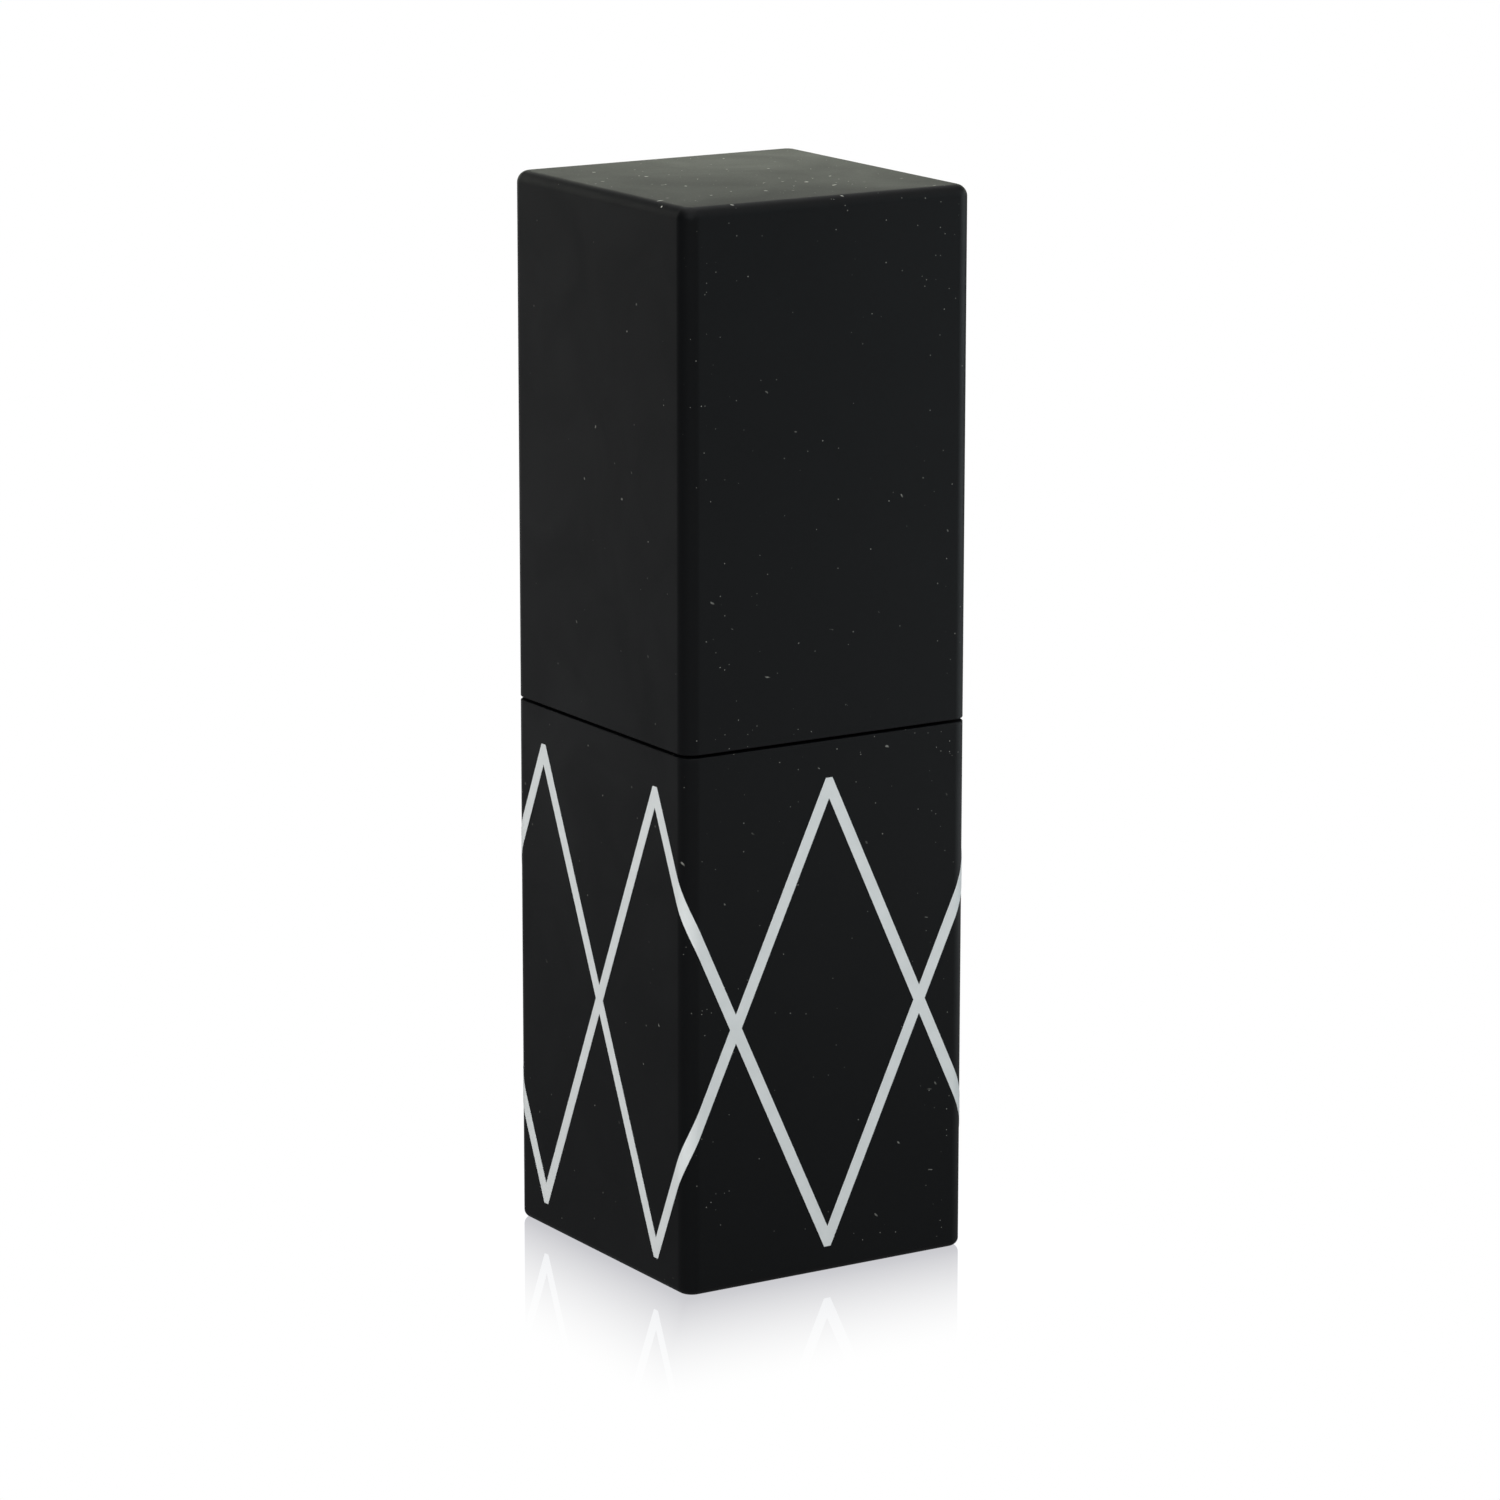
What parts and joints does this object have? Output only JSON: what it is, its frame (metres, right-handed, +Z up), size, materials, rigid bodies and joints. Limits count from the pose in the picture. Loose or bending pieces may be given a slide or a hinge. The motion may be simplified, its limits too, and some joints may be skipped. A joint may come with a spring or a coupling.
{
  "type": "lipstick case",
  "caption": "Square upright lipstick case with a pull-off cap, a turning round sleeve and a bullet that winds up and down.",
  "frame": {"origin": "centre of the base's flat underside, on the surface that the case stands on", "axes": "+Z up through the cap along the axis that the sleeve turns about; -Y is the front, which the bullet's slanted face looks towards; +X is the front's right"},
  "size_m": [0.022, 0.022, 0.072],
  "materials": {
    "soft_touch_black": "matte",
    "gloss_black": "gloss",
    "moulded_black": "satin",
    "natural_plastic": "satin",
    "gunmetal_sleeve": "gloss",
    "steel_weight": "satin",
    "magnet_nickel": "gloss",
    "brake_rubber": "matte",
    "label_paper": "matte",
    "lip_colour": "satin",
    "print_white": "matte"
  },
  "bodies": {
    "base": {"base_shell": "soft_touch_black", "base_insert": "moulded_black", "base_weight": "steel_weight", "shade_label": "label_paper", "shoulder_plate": "gloss_black", "base_magnet_1": "magnet_nickel", "base_magnet_2": "magnet_nickel", "base_magnet_3": "magnet_nickel", "base_magnet_4": "magnet_nickel", "slotted_tube": "moulded_black", "brake_ring": "brake_rubber"},
    "cap": {"cap_shell": "soft_touch_black", "cap_liner": "moulded_black", "cap_magnet_1": "magnet_nickel", "cap_magnet_2": "magnet_nickel", "cap_magnet_3": "magnet_nickel", "cap_magnet_4": "magnet_nickel"},
    "sleeve": {"outer_sleeve": "gunmetal_sleeve", "spiral_sleeve": "natural_plastic"},
    "carriage": {"bullet_cup": "gloss_black", "lipstick_bullet": "lip_colour"}
  },
  "joints": [
    {"name": "cap_lift", "type": "slide", "parent": "base", "child": "cap", "axis": [0, 0, 1], "range_m": [0, 0.045]},
    {"name": "sleeve_twist", "type": "hinge", "parent": "base", "child": "sleeve", "pos_m": [0, 0, 0.036], "axis": [0, 0, -1], "range_deg": [0, 540]},
    {"name": "bullet_rise", "type": "slide", "parent": "base", "child": "carriage", "axis": [0, 0, 1], "range_m": [0, 0.02]}
  ],
  "couplings": [
    {"joint": "bullet_rise", "follows": "sleeve_twist", "m_per_rad": 0.0021221}
  ]
}
